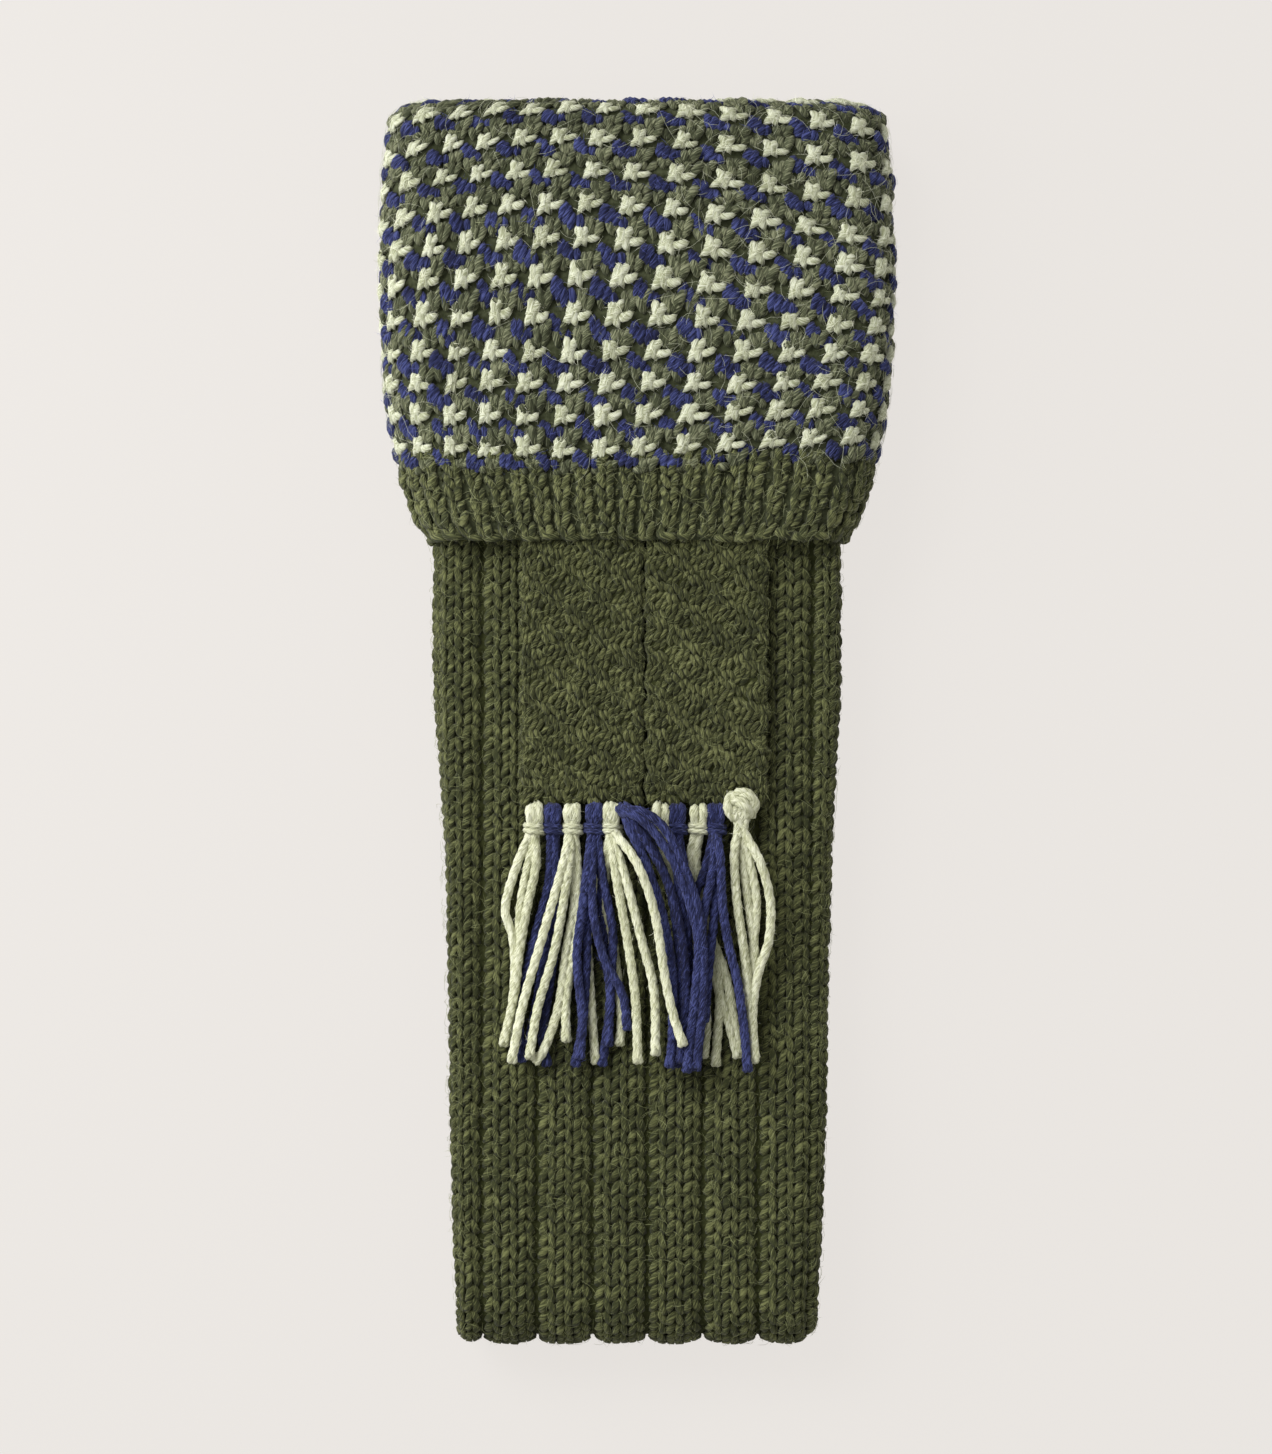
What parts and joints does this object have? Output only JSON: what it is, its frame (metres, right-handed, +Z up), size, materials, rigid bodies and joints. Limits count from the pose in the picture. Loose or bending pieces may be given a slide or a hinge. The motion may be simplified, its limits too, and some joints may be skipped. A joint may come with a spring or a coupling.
{
  "type": "knitted field sock",
  "caption": "Ribbed wool field sock lying folded at the ankle, with a patterned turnover cuff and a knitted garter whose two fringed ends hang below the cuff.",
  "frame": {"origin": "on the surface that the sock lies on, in the middle of its length and width", "axes": "+Z up, away from the surface; +Y towards the cuff; the front of the leg faces up"},
  "size_m": [0.129, 0.312, 0.0324],
  "materials": {
    "green_wool": "heathered dark olive wool, hand knitted",
    "tweed_wool": "wool in cream, navy and olive slip-stitch rows",
    "cream_wool": "pale greenish cream two-ply wool yarn",
    "navy_wool": "dark navy two-ply wool yarn"
  },
  "bodies": {
    "root": {"leg": "green_wool", "lower_leg": "green_wool", "ankle": "green_wool", "foot": "green_wool", "heel": "green_wool", "cuff_pattern": "tweed_wool", "cuff_welt": "green_wool", "garter_loop": "green_wool", "garter_end_left": "green_wool", "garter_end_right": "green_wool", "tassel_01": "cream_wool", "tassel_02": "navy_wool", "tassel_03": "cream_wool", "tassel_04": "navy_wool", "tassel_05": "cream_wool", "tassel_06": "navy_wool", "tassel_07": "cream_wool", "tassel_08": "navy_wool", "tassel_09": "cream_wool", "tassel_10": "navy_wool", "tassel_11": "cream_wool"}
  },
  "joints": []
}
